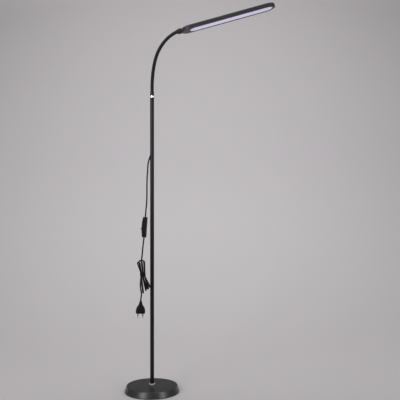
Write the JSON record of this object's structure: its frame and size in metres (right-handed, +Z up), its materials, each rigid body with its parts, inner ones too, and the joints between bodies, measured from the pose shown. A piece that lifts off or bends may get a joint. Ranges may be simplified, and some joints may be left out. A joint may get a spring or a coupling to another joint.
{
  "type": "gooseneck floor lamp",
  "caption": "Black reading floor lamp: round weighted base, slim pole, gooseneck, long round-ended flat light head, in-line rocker switch, tied cord and two-pin plug.",
  "frame": {"origin": "centre of the base's underside, on the floor", "axes": "+Z up the pole, +X the way the head reaches, -Y towards the viewer of the picture"},
  "size_m": [0.5717, 0.2086, 1.4741],
  "materials": {
    "base_paint": "matt",
    "cast_iron": "as cast",
    "pad": "matt",
    "chrome": "polished",
    "steel": "satin",
    "pole_paint": "satin",
    "neck_paint": "satin",
    "collar_paint": "satin",
    "head_shell": "fine satin",
    "opal": "frosted",
    "white_plastic": "matt",
    "board_white": "satin",
    "led_lens": "clear coated",
    "aluminium": "mill finish",
    "board_green": "satin",
    "component": "matt",
    "wire": "smooth",
    "cord_black": "smooth matt",
    "switch_black": "fine texture",
    "rocker_black": "gloss",
    "brass": "plain",
    "plug_black": "smooth matt",
    "pin_metal": "nickel plated"
  },
  "bodies": {
    "stand": {"base_cover": "base_paint", "base_weight": "cast_iron", "base_pad": "pad", "base_collar": "chrome", "base_bolt": "steel", "base_washer": "steel", "base_lock_washer": "steel", "pole_foot_insert": "steel", "pole_lower": "pole_paint", "pole_upper": "pole_paint", "pole_socket": "steel", "pole_stud": "steel", "pole_top_insert": "steel", "pole_lead": "cord_black", "pole_ring": "chrome", "neck_ferrule": "pole_paint", "neck_stud": "steel", "neck_link_01": "neck_paint", "cord_gland": "cord_black", "cord_upper": "cord_black", "switch_front": "switch_black", "switch_back": "switch_black", "rocker_pin": "steel", "switch_contacts": "brass", "switch_screws": "steel", "cord_lower": "cord_black", "cord_hank": "cord_black", "cord_tie": "cord_black", "plug_lead": "cord_black", "plug_body": "plug_black", "plug_pins": "pin_metal", "plug_sleeves": "switch_black"},
    "neck_02": {"neck_link_02": "neck_paint"},
    "neck_03": {"neck_link_03": "neck_paint"},
    "neck_04": {"neck_link_04": "neck_paint"},
    "neck_05": {"neck_link_05": "neck_paint"},
    "neck_06": {"neck_link_06": "neck_paint"},
    "neck_07": {"neck_link_07": "neck_paint"},
    "neck_08": {"neck_link_08": "neck_paint"},
    "neck_09": {"neck_link_09": "neck_paint"},
    "neck_10": {"neck_link_10": "neck_paint", "neck_end_fitting": "steel", "neck_collar": "collar_paint"},
    "head": {"head_spindle": "steel", "swivel_washer": "steel", "spindle_screw": "steel", "head_housing": "head_shell", "head_bezel": "head_shell", "diffuser": "opal", "light_frame": "white_plastic", "led_board": "board_white", "leds": "led_lens", "heat_plate": "aluminium", "board_screws": "steel", "driver_board": "board_green", "driver_parts": "component", "head_leads": "wire"},
    "rocker": {"rocker": "rocker_black"}
  },
  "joints": [
    {"name": "neck_bend", "type": "hinge", "parent": "stand", "child": "neck_02", "pos_m": [0, 0, 1.1644], "axis": [0, 1, 0], "range_deg": [-22, 22]},
    {"name": "neck_sway", "type": "hinge", "parent": "neck_02", "child": "neck_03", "pos_m": [0.00127, 0, 1.19027], "axis": [0.9974, 0, -0.0724], "range_deg": [-20, 20]},
    {"name": "neck_bend_3", "type": "hinge", "parent": "neck_03", "child": "neck_04", "pos_m": [0.00375, 0, 1.21605], "axis": [0, 1, 0], "range_deg": [-22, 22]},
    {"name": "neck_sway_4", "type": "hinge", "parent": "neck_04", "child": "neck_05", "pos_m": [0.0078, 0, 1.24163], "axis": [0.9808, 0, -0.1951], "range_deg": [-20, 20]},
    {"name": "neck_bend_5", "type": "hinge", "parent": "neck_05", "child": "neck_06", "pos_m": [0.01385, 0, 1.26682], "axis": [0, 1, 0], "range_deg": [-19.8, 19.8]},
    {"name": "neck_sway_6", "type": "hinge", "parent": "neck_06", "child": "neck_07", "pos_m": [0.02292, 0, 1.29107], "axis": [0.9081, 0, -0.4187], "range_deg": [-18, 18]},
    {"name": "neck_bend_7", "type": "hinge", "parent": "neck_07", "child": "neck_08", "pos_m": [0.03547, 0, 1.31373], "axis": [0, 1, 0], "range_deg": [-17.6, 17.6]},
    {"name": "neck_sway_8", "type": "hinge", "parent": "neck_08", "child": "neck_09", "pos_m": [0.05124, 0, 1.33428], "axis": [0.7402, 0, -0.6724], "range_deg": [-16, 16]},
    {"name": "neck_bend_9", "type": "hinge", "parent": "neck_09", "child": "neck_10", "pos_m": [0.07018, 0, 1.35194], "axis": [0, 1, 0], "range_deg": [-13.2, 13.2]},
    {"name": "head_swivel", "type": "hinge", "parent": "neck_10", "child": "head", "pos_m": [0.09238, 0, 1.36528], "axis": [0.9636, 0, 0.2672], "range_deg": [-90, 90]},
    {"name": "rocker_tilt", "type": "hinge", "parent": "stand", "child": "rocker", "pos_m": [-0.03498, -0.007, 0.6247], "axis": [0, 1, 0], "range_deg": [-22, 0]}
  ],
  "couplings": [
    {"joint": "neck_bend_3", "follows": "neck_bend", "ratio": 1},
    {"joint": "neck_sway_4", "follows": "neck_sway", "ratio": 1},
    {"joint": "neck_bend_5", "follows": "neck_bend", "ratio": 0.9},
    {"joint": "neck_sway_6", "follows": "neck_sway", "ratio": 0.9},
    {"joint": "neck_bend_7", "follows": "neck_bend", "ratio": 0.8},
    {"joint": "neck_sway_8", "follows": "neck_sway", "ratio": 0.8},
    {"joint": "neck_bend_9", "follows": "neck_bend", "ratio": 0.6}
  ]
}
